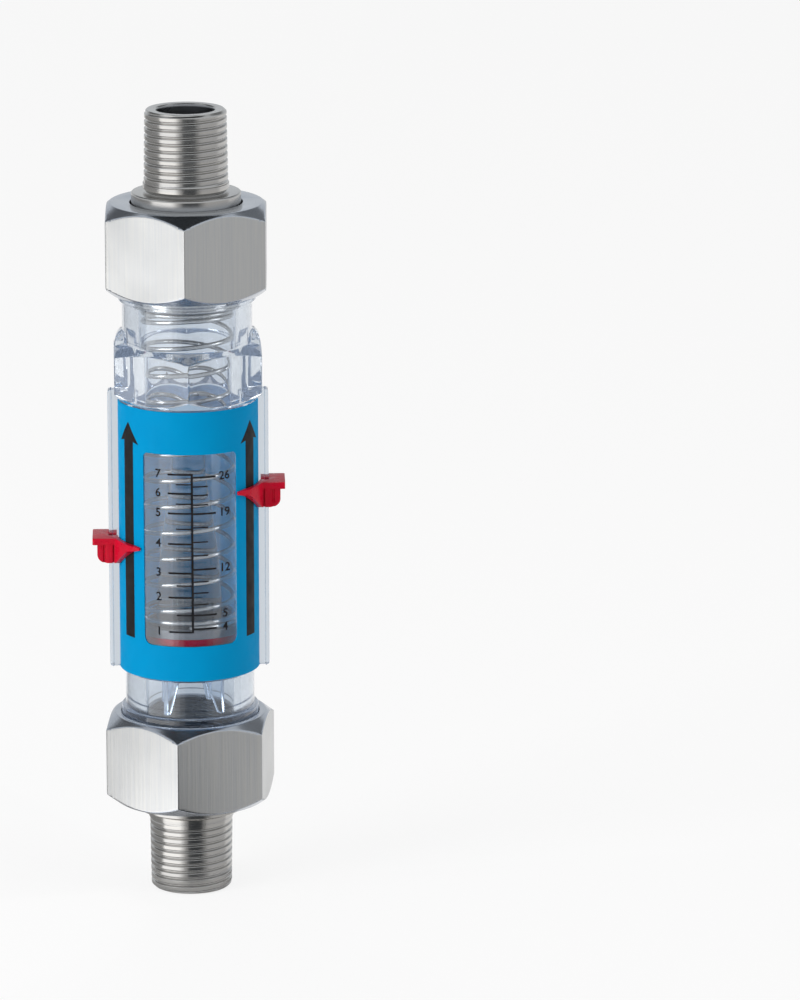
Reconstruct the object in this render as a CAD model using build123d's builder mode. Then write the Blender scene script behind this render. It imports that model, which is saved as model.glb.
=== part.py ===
# In-line variable-area flow meter: a clear body with a spring-loaded piston, and a union at each end.
# Millimetres. The inlet thread's end face is z = 0, +Z is the direction of flow, and the scale
# faces -Y. Heights named "..._in" are measured inwards from the nearer end of the meter.
import os
from math import cos, radians, sin, sqrt

from build123d import *

os.makedirs("parts", exist_ok=True)

# Overall
meter_height = 202.0        # thread end to thread end

# Clearances
label_gap = 0.02            # body to the label's back
union_gap = 0.35            # connector collar in the nut's hole, on the radius
thread_gap = 0.15           # nut thread to body thread, on the radius
flange_gap = 1.15           # connector flange in the nut's chamber, on the radius
piston_gap = 0.30           # piston to bore, on the radius
seat_gap = 0.10             # piston resting on the cone's ring
ring_fit = 0.08             # indicator ring in its groove
rail_gap = 0.15             # pointer clip round the rail
pointer_label_gap = 0.30    # pointer arm in front of the label
spring_gap = 0.05           # spring ends to their seats
drop_in_gap = 0.10          # loose rings in the bore, on the radius
blade_gap = 1.75            # blades inside the guide bore, on the radius
cut_past = 1.0              # how far a cut runs past what it cuts

# Connectors, turned from bar
thread_r = 10.60            # major radius of the half-inch pipe thread
thread_length = 18.5
thread_chamfer = 0.9
passage_r = 7.3
lead_step = 0.25            # plain ring behind the thread stands proud of it
collar_in = 20.9            # outer face of the collar
collar_step = 2.95          # collar stands proud of the plain ring
collar_edge = 0.4
lead_groove_depth = 0.7
lead_groove_width = 1.0
flange_thickness = 4.1
funnel_length = 8.0

# Union nuts
nut_in = 23.5               # outer face of the nut
nut_height = 22.9
nut_flats = 40.0
nut_web = 4.2               # wall that pulls on the connector's flange
nut_chamfer_r = 19.25       # where the end chamfer meets the end face
nut_chamfer_depth = 3.0     # at the corners
nut_mouth_chamfer = 0.6
inlet_nut_turn = -8.35      # degrees that a corner stands off the front
outlet_nut_turn = -1.4

# Clear body
neck_r = 16.4
body_thread_r = 17.0
stop_ring_r = 17.4          # ring that shows at the nut's mouth
stop_ring_height = 2.1
stop_ring_inset = 0.2       # of its height inside the nut's mouth
barrel_r = 17.6
barrel_bottom = 58.45
barrel_shoulder = 0.4
wrench_stand = 0.95         # flats stand off the barrel
wrench_turn = 0.7
wrench_bottom = 128.6
wrench_bottom_chamfer = 2.8
wrench_corner_top = 140.9
wrench_top = 142.8
wrench_step = 0.4           # top of the chamfer stands off the neck
lug_inset = 0.15            # side lugs above the flats, inside them
lug_root = 1.0              # runs this far into the neck's wall
lug_width = 6.0
lug_start = 142.4
lug_top = 146.0
lug_fullness = 0.68         # share of its reach and height at the middle of its rounded top
bore_r = 12.2
cone_shelf_width = 1.0      # bore below the cone's ring is this much smaller
seat_shelf_width = 1.0      # bore above the spring seat is this much larger
cone_shelf = 60.0           # height of the step that carries the cone
inlet_lead_in = 1.0

# Side rails that the pointers slide on
rail_stand = 2.65           # outer edge stands off the barrel
rail_web = 2.2
rail_root = 1.0             # runs this far into the barrel's wall
rail_bead_step = 0.5        # outer edge is thicker by this on each side, to keep the clips on
rail_bead_depth = 0.9
rail_bottom = 58.4
rail_top = 130.5
rail_corner = 0.7

# Labels
label_thickness = 0.18
label_bottom = 58.6
label_top = 128.2
label_edge_gap = 0.35       # from the rail
window_bottom = 67.6
window_top = 117.3
window_half_angle = 41.0
window_turn = 1.4
window_top_corner = 1.3
window_bottom_corner = 2.2

# Metering cone
cone_root_z = 66.0
cone_tapers = (             # loss of radius, and its height
    (0.4, 77.0),
    (1.3, 89.0),
    (2.7, 99.0),
    (4.3, 108.5),
    (4.8, 118.8),
)
cone_tip_length = 3.2       # rounded end above the taper
cone_nose_length = 9.5      # rounded nose that faces the inlet
cone_end_flat = 0.8         # small flat at each end of the cone
cone_end_fullness = 0.72    # share of the radius and length at the middle of each rounded end
cone_ring_height = 2.4
cone_ring_width = 1.4
blade_count = 4
blade_turn = 53.0           # degrees from the front
blade_thickness = 1.3
blade_foot_z = 47.4
blade_foot_width = 1.0
blade_top_drop = 1.5        # blade's inner edge starts this far above the nose

# Piston and its red ring
orifice_step = 2.9          # orifice inside the piston's wall
orifice_gap = 0.4           # orifice round the cone's root, on the radius
orifice_land = 0.5
piston_rise = 3.6           # orifice above the piston's foot
piston_height = 8.1
piston_foot_wall = 1.2
piston_rim_wall = 1.6
band_offset = 4.1           # band above the piston's foot
band_height = 1.8
band_depth = 0.7

# Spring
spring_wire = 1.2
spring_bore_gap = 0.45      # coils to the bore, on the radius
working_turns = 11.4
lower_closed_turns = 1.6
upper_closed_turns = 1.3
closed_pitch_ratio = 1.04   # pitch of the closed turns, in wire diameters

# Spring seat and its retaining ring
spring_seat_z = 152.6
spring_seat_thickness = 1.5
spring_seat_width = 3.5
retainer_wire = 1.3         # width and height of the split ring
retainer_groove_depth = 0.7
retainer_opening = 50.0     # degrees

# O-rings
seal_section = 2.0
seal_sides = 8              # its round section is drawn eight-sided
seal_r = 14.0

# Pointers, each drawn as the right-hand one
pointer_label_step = 0.5    # clip's inner face beyond the label
pointer_stand = 4.15        # head's outer face beyond the rail
pointer_height = 6.4
head_depth = 10.0
head_height = 1.7
head_corner = 0.5
grip_inset = 1.2            # grip's outer face inside the head's
grip_depth = 9.4
grip_corner = 2.2
flute_r = 0.35
flute_insets = (1.8, 4.1)   # from the grip's outer face
arm_shoulder_step = 0.8     # beyond the label, where the arm leaves the front of the clip
arm_elbow_step = 1.8        # beyond the label, where it narrows to its nib
arm_elbow_angle = 53.7      # degrees from the front
elbow_height = 1.8
nib_tip_step = 0.9          # beyond the label
nib_tip_angle = 42.5        # degrees from the front
nib_tip_height = 0.6
nib_tip_drop = 0.35         # below the pointer's top
min_pointer_top = 92.75
max_pointer_top = 107.0

# Worked out from the above
nut_inner_in = nut_in + nut_web
body_end_in = nut_inner_in + flange_thickness
body_bottom = body_end_in
body_top = meter_height - body_end_in
nut_mouth_in = nut_in + nut_height
nut_bore_r = body_thread_r + thread_gap
lead_r = thread_r + lead_step
collar_r = lead_r + collar_step
flange_r = nut_bore_r - flange_gap
guide_bore_r = bore_r - cone_shelf_width
outlet_bore_r = bore_r + seat_shelf_width
wrench_flats = 2 * (barrel_r + wrench_stand)
lug_r = wrench_flats / 2 - lug_inset
rail_reach = barrel_r + rail_stand
rail_bead = rail_web + 2 * rail_bead_step
label_r = barrel_r + label_gap
label_outer_r = label_r + label_thickness
piston_r = bore_r - piston_gap
orifice_r = piston_r - orifice_step
cone_root_r = orifice_r - orifice_gap
spring_r = bore_r - spring_bore_gap - spring_wire / 2
cone_ring_top = cone_shelf + cone_ring_height
piston_foot = cone_ring_top + seat_gap
piston_top = piston_foot + piston_height
spring_bottom = piston_top + spring_gap
spring_top = spring_seat_z - spring_gap
retainer_z = spring_seat_z + spring_seat_thickness
retainer_groove_r = outlet_bore_r + retainer_groove_depth
spring_seat_r = outlet_bore_r - drop_in_gap

inlet_side = Plane(origin=(0, 0, 0), x_dir=(1, 0, 0), z_dir=(0, -1, 0))
outlet_side = Plane(origin=(0, 0, meter_height), x_dir=(1, 0, 0), z_dir=(0, 1, 0))


def save(piece, name):
    piece.part.label = name
    export_step(piece.part, f"parts/{name}.step")


# Connectors: threaded tail, collar that shows in the nut's hole, and the flange that the nut pulls on
def make_connector(name, side):
    with BuildPart() as connector:
        with BuildSketch(side):
            with BuildLine():
                Polyline(
                    (passage_r, 0),
                    (thread_r - thread_chamfer, 0),
                    (thread_r, thread_chamfer),
                    (thread_r, thread_length),
                    (lead_r, thread_length),
                    (lead_r, collar_in - lead_groove_width),
                    (lead_r - lead_groove_depth, collar_in - lead_groove_width / 2),
                    (lead_r - lead_groove_depth, collar_in),
                    (collar_r - collar_edge, collar_in),
                    (collar_r, collar_in + collar_edge),
                    (collar_r, nut_inner_in),
                    (flange_r, nut_inner_in),
                    (flange_r, body_end_in),
                    (guide_bore_r, body_end_in),
                    (passage_r, body_end_in - funnel_length),
                    close=True,
                )
            make_face()
        revolve(axis=Axis.Z)
        with BuildSketch(side):
            with Locations((seal_r, body_end_in - seal_section / 2)):
                Rectangle(seal_section + 2 * drop_in_gap, seal_section)
        revolve(axis=Axis.Z, mode=Mode.SUBTRACT)
    save(connector, name)


# O-rings: each fills its groove in the flange and seals on the body's end face
def make_seal(name, side):
    with BuildPart() as seal:
        with BuildSketch(side):
            with Locations((seal_r, body_end_in - seal_section / 2)):
                RegularPolygon(seal_section / 2, seal_sides, major_radius=False, rotation=180 / seal_sides)
        revolve(axis=Axis.Z)
    save(seal, name)


# Union nuts: hexagon with both ends chamfered, a hole for the collar and the threaded chamber
def make_nut(name, side, turn):
    corner_r = nut_flats / sqrt(3)
    start = nut_in if side is inlet_side else meter_height - nut_mouth_in
    with BuildPart() as nut:
        with BuildSketch(Plane.XY.offset(start)):
            RegularPolygon(nut_flats / 2, 6, major_radius=False, rotation=turn - 90)
        extrude(amount=nut_height)
        with BuildSketch(side):
            with BuildLine():
                Polyline(
                    (0, nut_in),
                    (nut_chamfer_r, nut_in),
                    (corner_r, nut_in + nut_chamfer_depth),
                    (corner_r, nut_mouth_in - nut_chamfer_depth),
                    (nut_chamfer_r, nut_mouth_in),
                    (0, nut_mouth_in),
                    close=True,
                )
            make_face()
        revolve(axis=Axis.Z, mode=Mode.INTERSECT)
        with BuildSketch(side):
            with BuildLine():
                Polyline(
                    (0, nut_in),
                    (collar_r + union_gap, nut_in),
                    (collar_r + union_gap, nut_inner_in),
                    (nut_bore_r, nut_inner_in),
                    (nut_bore_r, nut_mouth_in - nut_mouth_chamfer),
                    (nut_bore_r + nut_mouth_chamfer, nut_mouth_in),
                    (0, nut_mouth_in),
                    close=True,
                )
            make_face()
        revolve(axis=Axis.Z, mode=Mode.SUBTRACT)
    save(nut, name)


for end_name, end_side, nut_turn in (
    ("inlet", inlet_side, inlet_nut_turn),
    ("outlet", outlet_side, outlet_nut_turn),
):
    make_connector(f"{end_name}_connector", end_side)
    make_seal(f"{end_name}_seal", end_side)
    make_nut(f"{end_name}_union_nut", end_side, nut_turn)

# Clear body, moulded in one piece
wrench_corner_r = wrench_flats / sqrt(3)
lower_ring_z = nut_mouth_in - stop_ring_inset
upper_ring_z = meter_height - lower_ring_z - stop_ring_height
with BuildPart() as body:
    with BuildSketch(Plane.XY.offset(wrench_bottom)):
        RegularPolygon(wrench_flats / 2, 6, major_radius=False, rotation=wrench_turn - 90)
    extrude(amount=wrench_top - wrench_bottom)
    with BuildSketch(Plane.XZ):
        with BuildLine():
            Polyline(
                (0, wrench_bottom),
                (barrel_r, wrench_bottom),
                (wrench_corner_r, wrench_bottom + wrench_bottom_chamfer),
                (wrench_corner_r, wrench_corner_top),
                (neck_r + wrench_step, wrench_top),
                (0, wrench_top),
                close=True,
            )
        make_face()
    revolve(axis=Axis.Z, mode=Mode.INTERSECT)
    with BuildSketch(Plane.XZ):
        with BuildLine():
            Polyline(
                (0, body_bottom),
                (body_thread_r, body_bottom),
                (body_thread_r, lower_ring_z),
                (stop_ring_r, lower_ring_z),
                (stop_ring_r, lower_ring_z + stop_ring_height),
                (neck_r, lower_ring_z + stop_ring_height),
                (neck_r, barrel_bottom - barrel_shoulder),
                (barrel_r, barrel_bottom),
                (barrel_r, wrench_bottom),
                (neck_r, wrench_bottom + barrel_shoulder),
                (neck_r, upper_ring_z),
                (stop_ring_r, upper_ring_z),
                (stop_ring_r, upper_ring_z + stop_ring_height),
                (body_thread_r, upper_ring_z + stop_ring_height),
                (body_thread_r, body_top),
                (0, body_top),
                close=True,
            )
        make_face()
    revolve(axis=Axis.Z)
    for lug_side in (-1, 1):
        with BuildSketch(Plane.XZ):
            with BuildLine():
                ThreePointArc(
                    (lug_side * lug_r, lug_start),
                    (
                        lug_side * (neck_r + (lug_r - neck_r) * lug_fullness),
                        lug_start + (lug_top - lug_start) * lug_fullness,
                    ),
                    (lug_side * neck_r, lug_top),
                )
                Polyline(
                    (lug_side * neck_r, lug_top),
                    (lug_side * (neck_r - lug_root), lug_top),
                    (lug_side * (neck_r - lug_root), wrench_corner_top),
                    (lug_side * lug_r, wrench_corner_top),
                    (lug_side * lug_r, lug_start),
                )
            make_face()
        extrude(amount=lug_width / 2, both=True)
    for rail_side in (-1, 1):
        with BuildSketch(Plane.XY.offset(rail_bottom)):
            with Locations((rail_side * (rail_reach + barrel_r - rail_root) / 2, 0)):
                Rectangle(rail_reach - barrel_r + rail_root, rail_web)
            with Locations((rail_side * (rail_reach - rail_bead_depth / 2), 0)):
                Rectangle(rail_bead_depth, rail_bead)
        extrude(amount=rail_top - rail_bottom)
    with BuildSketch(Plane.XZ):
        with BuildLine():
            Polyline(
                (0, body_bottom),
                (guide_bore_r + inlet_lead_in, body_bottom),
                (guide_bore_r, body_bottom + inlet_lead_in),
                (guide_bore_r, cone_shelf),
                (bore_r, cone_shelf),
                (bore_r, spring_seat_z),
                (outlet_bore_r, spring_seat_z),
                (outlet_bore_r, retainer_z),
                (retainer_groove_r, retainer_z),
                (retainer_groove_r, retainer_z + retainer_wire),
                (outlet_bore_r, retainer_z + retainer_wire),
                (outlet_bore_r, body_top),
                (0, body_top),
                close=True,
            )
        make_face()
    revolve(axis=Axis.Z, mode=Mode.SUBTRACT)
    for rail_end in (rail_bottom, rail_top):
        rail_tips = body.edges().filter_by(Axis.Y).filter_by_position(
            Axis.Z, rail_end - 0.01, rail_end + 0.01
        )
        fillet(rail_tips.group_by(Axis.X)[0] + rail_tips.group_by(Axis.X)[-1], rail_corner)
save(body, "body")


# Labels: each goes round its half of the barrel, from rail to rail
def label_profile(front):
    facing = -1 if front else 1
    edge = rail_bead / 2 + label_edge_gap
    with BuildSketch(Plane.XY.offset(label_bottom)) as profile:
        Circle(label_outer_r)
        Circle(label_r, mode=Mode.SUBTRACT)
        with Locations((0, -facing * (label_outer_r - edge))):
            Rectangle(2 * (label_outer_r + cut_past), 2 * label_outer_r, mode=Mode.SUBTRACT)
    return profile


front_profile = label_profile(front=True)
with BuildPart() as front_label:
    extrude(front_profile.sketch, amount=label_top - label_bottom)
    with BuildSketch(Plane.XZ.rotated((0, 0, window_turn))) as window:
        with Locations((0, (window_bottom + window_top) / 2)):
            Rectangle(2 * label_outer_r * sin(radians(window_half_angle)), window_top - window_bottom)
        fillet(window.vertices().group_by(Axis.Y)[-1], window_top_corner)
        fillet(window.vertices().group_by(Axis.Y)[0], window_bottom_corner)
    extrude(amount=label_outer_r + cut_past, mode=Mode.SUBTRACT)
save(front_label, "front_label")

back_profile = label_profile(front=False)
with BuildPart() as back_label:
    extrude(back_profile.sketch, amount=label_top - label_bottom)
save(back_label, "back_label")

# Metering cone with its ring and guide blades, one clear moulding
blade_outer_r = guide_bore_r - blade_gap
cone_nose_z = cone_root_z - cone_nose_length
cone_steps = [(cone_root_r - loss, height) for loss, height in cone_tapers]
cone_tip_r, cone_tip_z = cone_steps[-1]
cone_end_z = cone_tip_z + cone_tip_length
with BuildPart() as metering_cone:
    with BuildSketch(Plane.XZ):
        with BuildLine():
            Line((0, cone_nose_z), (cone_end_flat, cone_nose_z))
            ThreePointArc(
                (cone_end_flat, cone_nose_z),
                (cone_root_r * cone_end_fullness, cone_root_z - cone_nose_length * cone_end_fullness),
                (cone_root_r, cone_root_z),
            )
            Polyline((cone_root_r, cone_root_z), *cone_steps)
            ThreePointArc(
                (cone_tip_r, cone_tip_z),
                (cone_tip_r * cone_end_fullness, cone_tip_z + cone_tip_length * cone_end_fullness),
                (cone_end_flat, cone_end_z),
            )
            Polyline((cone_end_flat, cone_end_z), (0, cone_end_z), (0, cone_nose_z))
        make_face()
    revolve(axis=Axis.Z)
    with BuildSketch(Plane.XY.offset(cone_shelf)):
        Circle(bore_r - drop_in_gap)
        Circle(bore_r - cone_ring_width, mode=Mode.SUBTRACT)
    extrude(amount=cone_ring_height)
    for blade in range(blade_count):
        blade_plane = Plane.XZ.rotated((0, 0, blade_turn + 360 * blade / blade_count))
        with BuildSketch(blade_plane):
            with BuildLine():
                Polyline(
                    (cone_root_r / 2, cone_ring_top),
                    (bore_r - cone_ring_width / 2, cone_ring_top),
                    (bore_r - cone_ring_width / 2, cone_shelf),
                    (blade_outer_r, cone_shelf),
                    (blade_outer_r, blade_foot_z),
                    (blade_outer_r - blade_foot_width, blade_foot_z),
                    (cone_root_r / 2, cone_nose_z + blade_top_drop),
                    close=True,
                )
            make_face()
        extrude(amount=blade_thickness / 2, both=True)
save(metering_cone, "metering_cone")

# Piston: a ring with a sharp-edged orifice, a groove for the red band and the spring's seat on top
orifice_z = piston_foot + piston_rise
band_bottom = piston_foot + band_offset
with BuildPart() as piston:
    with BuildSketch(Plane.XZ):
        with BuildLine():
            Polyline(
                (piston_r, piston_foot),
                (piston_r, band_bottom),
                (piston_r - band_depth, band_bottom),
                (piston_r - band_depth, band_bottom + band_height),
                (piston_r, band_bottom + band_height),
                (piston_r, piston_top),
                (piston_r - piston_rim_wall, piston_top),
                (orifice_r, orifice_z + orifice_land),
                (orifice_r, orifice_z),
                (piston_r - piston_foot_wall, piston_foot),
                close=True,
            )
        make_face()
    revolve(axis=Axis.Z)
save(piston, "piston")

# Red band that is read against the scale
with BuildPart() as indicator_ring:
    with BuildSketch(Plane.XY.offset(band_bottom + ring_fit)):
        Circle(piston_r)
        Circle(piston_r - band_depth + ring_fit, mode=Mode.SUBTRACT)
    extrude(amount=band_height - 2 * ring_fit)
save(indicator_ring, "indicator_ring")

# Return spring: closed coils at both ends and an even pitch between
closed_pitch = spring_wire * closed_pitch_ratio
closed_turns = lower_closed_turns + upper_closed_turns
working_height = spring_top - spring_bottom - spring_wire - closed_turns * closed_pitch
working_pitch = working_height / working_turns
total_turns = working_turns + closed_turns


def coil_height(turns):
    opened = min(max(turns - lower_closed_turns, 0), working_turns)
    return (turns - opened) * closed_pitch + opened * working_pitch


steps_per_turn = 8
wire_sides = 6
spring_steps = round(total_turns * steps_per_turn)
spring_points = []
for step in range(spring_steps + 1):
    turns = total_turns * step / spring_steps
    bearing = radians(360 * turns - 90)
    spring_points.append((
        spring_r * cos(bearing),
        spring_r * sin(bearing),
        spring_bottom + spring_wire / 2 + coil_height(turns),
    ))

with BuildPart() as return_spring:
    with BuildLine() as coil:
        Spline(*spring_points)
    with BuildSketch(Plane(origin=coil.line @ 0, z_dir=coil.line % 0)):
        RegularPolygon(spring_wire / 2, wire_sides, rotation=180 / wire_sides)
    sweep(path=coil.line, is_frenet=True)
save(return_spring, "return_spring")

# Seat for the spring's upper end, and the split ring that holds it
with BuildPart() as spring_seat:
    with BuildSketch(Plane.XY.offset(spring_seat_z)):
        Circle(spring_seat_r)
        Circle(spring_seat_r - spring_seat_width, mode=Mode.SUBTRACT)
    extrude(amount=spring_seat_thickness)
save(spring_seat, "spring_seat")

with BuildPart() as retaining_ring:
    with BuildSketch(Plane.XZ):
        with Locations((retainer_groove_r - drop_in_gap - retainer_wire / 2, retainer_z + retainer_wire / 2)):
            Rectangle(retainer_wire, retainer_wire - drop_in_gap)
    revolve(axis=Axis.Z, revolution_arc=360 - retainer_opening)
save(retaining_ring, "retaining_ring")


# Point at a radius, and a bearing measured from the front towards +X
def round_point(radius, angle):
    return (radius * sin(radians(angle)), -radius * cos(radians(angle)))


# Pointers: a clip round the rail with a fluted grip, and an arm that reaches round to the window
def make_pointer(name, hand, top):
    inner_r = label_outer_r + pointer_label_gap
    clip_inner_x = label_outer_r + pointer_label_step
    head_outer_x = rail_reach + pointer_stand
    grip_outer_x = head_outer_x - grip_inset
    grip_middle_x = (clip_inner_x + grip_outer_x) / 2
    bottom = top - pointer_height
    elbow = round_point(label_outer_r + arm_elbow_step, arm_elbow_angle)
    nib_tip = round_point(label_outer_r + nib_tip_step, nib_tip_angle)
    nib_inside = round_point(inner_r, nib_tip_angle)
    with BuildPart() as pointer:
        # Arm, drawn from above
        with BuildSketch(Plane.XY.offset(bottom)):
            with BuildLine():
                ThreePointArc((inner_r, 0), round_point(inner_r, (90 + nib_tip_angle) / 2), nib_inside)
                Polyline(
                    nib_inside,
                    nib_tip,
                    elbow,
                    (label_outer_r + arm_shoulder_step, -head_depth / 2),
                    (grip_middle_x, -head_depth / 2),
                    (grip_middle_x, 0),
                    (inner_r, 0),
                )
            make_face()
        extrude(amount=pointer_height)
        # Arm, drawn from the side: level on top, and rising below to the nib
        with BuildSketch(Plane.YZ):
            with BuildLine():
                Polyline(
                    (0, bottom),
                    (-head_depth / 2, bottom),
                    (elbow[1], top - elbow_height),
                    (nib_tip[1], top - nib_tip_drop - nib_tip_height),
                    (nib_tip[1], top - nib_tip_drop),
                    (elbow[1], top),
                    (0, top),
                    close=True,
                )
            make_face()
        extrude(amount=head_outer_x, mode=Mode.INTERSECT)
        # Head
        with BuildSketch(Plane.XY.offset(top - head_height)) as head:
            with Locations(((clip_inner_x + head_outer_x) / 2, 0)):
                Rectangle(head_outer_x - clip_inner_x, head_depth)
            fillet(head.vertices().group_by(Axis.X)[-1], head_corner)
        extrude(amount=head_height)
        # Grip
        with BuildSketch(Plane.XZ.offset(-grip_depth / 2)) as grip:
            with Locations((grip_middle_x, top - pointer_height / 2)):
                Rectangle(grip_outer_x - clip_inner_x, pointer_height)
            fillet(grip.vertices().group_by(Axis.Y)[0].sort_by(Axis.X)[-1], grip_corner)
        extrude(amount=grip_depth)
        # Slot for the rail
        with BuildSketch(Plane.XY.offset(bottom - cut_past)):
            with Locations((rail_reach / 2, 0)):
                Rectangle(rail_reach, rail_web + 2 * rail_gap)
            with Locations((rail_reach - rail_bead_depth / 2, 0)):
                Rectangle(rail_bead_depth + 2 * rail_gap, rail_bead + 2 * rail_gap)
        extrude(amount=pointer_height + 2 * cut_past, mode=Mode.SUBTRACT)
        # Finger flutes, front and back
        with BuildSketch(Plane.XY.offset(bottom - cut_past)):
            for flute_inset in flute_insets:
                flute_x = grip_outer_x - flute_inset
                with Locations((flute_x, -grip_depth / 2), (flute_x, grip_depth / 2)):
                    Circle(flute_r)
        extrude(amount=pointer_height - head_height + cut_past, mode=Mode.SUBTRACT)
        if hand < 0:
            mirror(about=Plane.YZ, mode=Mode.REPLACE)
    save(pointer, name)


make_pointer("min_pointer", -1, min_pointer_top)
make_pointer("max_pointer", 1, max_pointer_top)
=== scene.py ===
# Looks of the in-line flow meter; sizes are millimetres until they become vertices, which are metres
from math import asin, ceil, cos, degrees, pi, radians, sin, sqrt

import bmesh
import bpy
import numpy as np
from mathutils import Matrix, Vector

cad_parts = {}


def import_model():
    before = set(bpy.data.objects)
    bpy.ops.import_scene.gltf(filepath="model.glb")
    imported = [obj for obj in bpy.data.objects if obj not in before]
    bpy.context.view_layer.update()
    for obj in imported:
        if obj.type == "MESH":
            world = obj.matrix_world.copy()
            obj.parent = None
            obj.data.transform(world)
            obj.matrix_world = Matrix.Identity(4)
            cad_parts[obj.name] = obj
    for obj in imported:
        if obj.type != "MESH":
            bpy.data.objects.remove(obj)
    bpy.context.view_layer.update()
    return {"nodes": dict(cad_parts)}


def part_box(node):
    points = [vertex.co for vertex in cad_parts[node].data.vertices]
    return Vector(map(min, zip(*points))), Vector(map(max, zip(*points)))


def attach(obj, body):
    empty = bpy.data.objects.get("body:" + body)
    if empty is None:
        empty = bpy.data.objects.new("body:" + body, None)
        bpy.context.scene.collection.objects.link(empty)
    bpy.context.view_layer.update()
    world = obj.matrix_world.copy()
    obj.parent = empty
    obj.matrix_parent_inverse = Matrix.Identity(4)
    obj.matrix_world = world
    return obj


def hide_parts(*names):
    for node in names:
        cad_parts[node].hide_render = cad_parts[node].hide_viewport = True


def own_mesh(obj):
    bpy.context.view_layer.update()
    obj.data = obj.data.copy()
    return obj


# The part's frame: +Z is the direction of flow, and the scale faces -Y
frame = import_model()
nodes = frame["nodes"]
scene = bpy.context.scene
MM = 0.001
COLUMNS = 240               # points round a turned piece
SHARP = 32                  # degrees above which an edge keeps its crease
WELD = 2e-7                 # metres within which two points become one
CAD_WELD = 1e-6             # the same for a mesh of the CAD part


# Sizes that the frame gives, in millimetres
def low(node):
    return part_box(node)[0] / MM


def high(node):
    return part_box(node)[1] / MM


meter_height = high("outlet_connector").z
body_bottom = low("body").z
body_top = high("body").z
label_bottom = low("front_label").z
label_top = high("front_label").z
label_outer_r = -low("front_label").y
piston_foot = low("piston").z
piston_top = high("piston").z
piston_r = high("piston").x
spring_bottom = low("return_spring").z
spring_top = high("return_spring").z
seat_bottom = low("spring_seat").z
seat_top = high("spring_seat").z
rail_reach = high("body").x

# Driving sizes that the frame doesn't give
nut_flats = 40.0
thread_r = 10.6
barrel_r = 17.6
bore_r = 12.2


# Meshes
def new_object(name, data):
    obj = bpy.data.objects.new(name, data)
    scene.collection.objects.link(obj)
    return obj


def add_object(name, points, faces, sharp=SHARP):
    mesh = bpy.data.meshes.new(name)
    mesh.from_pydata([tuple(p) for p in np.asarray(points) * MM], [], faces)
    obj = new_object(name, mesh)
    face_outwards(obj, sharp)
    return obj


def face_outwards(obj, sharp=SHARP):
    bm = bmesh.new()
    bm.from_mesh(obj.data)
    bmesh.ops.remove_doubles(bm, verts=bm.verts, dist=WELD)
    bmesh.ops.recalc_face_normals(bm, faces=bm.faces)
    bm.to_mesh(obj.data)
    bm.free()
    obj.data.polygons.foreach_set("use_smooth", [True] * len(obj.data.polygons))
    obj.data.set_sharp_from_angle(angle=radians(sharp))


def turns(columns=COLUMNS):
    return np.linspace(0, 2 * pi, columns, endpoint=False)


def ring(radius, z, angles):
    radius = np.broadcast_to(radius, angles.shape)
    return np.stack([radius * np.cos(angles), radius * np.sin(angles), np.full(angles.shape, z)], axis=1)


# Closed surface through rings that have equal numbers of points; the last joins the first
def skin(name, rings, sharp=SHARP):
    points, faces = strip(rings + rings[:1])
    return add_object(name, points, faces, sharp)


# Open surface through rings
def strip(rings):
    rings = np.array(rings)
    count, columns, _ = rings.shape
    index = np.arange(count * columns).reshape(count, columns)
    here, above = index[:-1], index[1:]
    quads = np.stack([here, np.roll(here, -1, axis=1), np.roll(above, -1, axis=1), above], axis=-1)
    return rings.reshape(-1, 3), quads.reshape(-1, 4).tolist()


def join(parts):
    points, faces = [], []
    for part_points, part_faces in parts:
        start = len(points)
        points += [tuple(p) for p in part_points]
        faces += [[start + i for i in f] for f in part_faces]
    return points, faces


# Closed solid through outlines of equal numbers of points, given one after another
def stacked(name, points, count, sharp=SHARP):
    faces = []
    for start in range(0, len(points) - count, count):
        for k in range(count):
            a, b = start + k, start + (k + 1) % count
            faces.append([a, b, b + count, a + count])
    faces += [list(range(count)), list(range(len(points) - count, len(points)))]
    return add_object(name, points, faces, sharp)


# Outline with each corner (r, z, size) made a curve, and a point beside it that keeps long sides flat
def rounded(corners, steps=4):
    long_side, support = 4, 1.6
    out = []
    count = len(corners)
    for i, corner in enumerate(corners):
        here = np.array(corner[:2], float)
        size = corner[2] if len(corner) > 2 else 0
        if not size:
            out.append(tuple(here))
            continue
        before = np.array(corners[i - 1][:2], float) - here
        after = np.array(corners[(i + 1) % count][:2], float) - here
        start = before / np.linalg.norm(before)
        end = after / np.linalg.norm(after)
        if np.linalg.norm(before) > long_side * size:
            out.append(tuple(here + start * size * support))
        for t in np.linspace(0, 1, steps + 1):
            out.append(tuple(here + start * size * (1 - t) ** 2 + end * size * t ** 2))
        if np.linalg.norm(after) > long_side * size:
            out.append(tuple(here + end * size * support))
    return out


def lathe(name, corners, columns=COLUMNS, steps=4, sharp=SHARP):
    angles = turns(columns)
    return skin(name, [ring(r, z, angles) for r, z in rounded(corners, steps)], sharp)


def combine(target, other, operation):
    modifier = target.modifiers.new("combine", "BOOLEAN")
    modifier.operation = operation
    modifier.object = other
    modifier.solver = "EXACT"
    apply_modifiers(target)
    bpy.data.objects.remove(other)


def apply_modifiers(obj):
    evaluated = obj.evaluated_get(bpy.context.evaluated_depsgraph_get())
    mesh = bpy.data.meshes.new_from_object(evaluated)
    obj.modifiers.clear()
    obj.data = mesh


# Angles round a hexagonal piece, closer together at its corners, one of which is at the given bearing
def hexagon_turns(corner):
    beside = (0.12, 0.3, 0.6, 1, 1.6)
    offsets = [-d for d in beside] + [0] + list(beside)
    near = [corner + 60 * k + d for k in range(6) for d in offsets]
    even = [corner + d for d in range(2, 360, 2) if 2 < d % 60 < 58]
    return np.radians(sorted(near + even))


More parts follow.
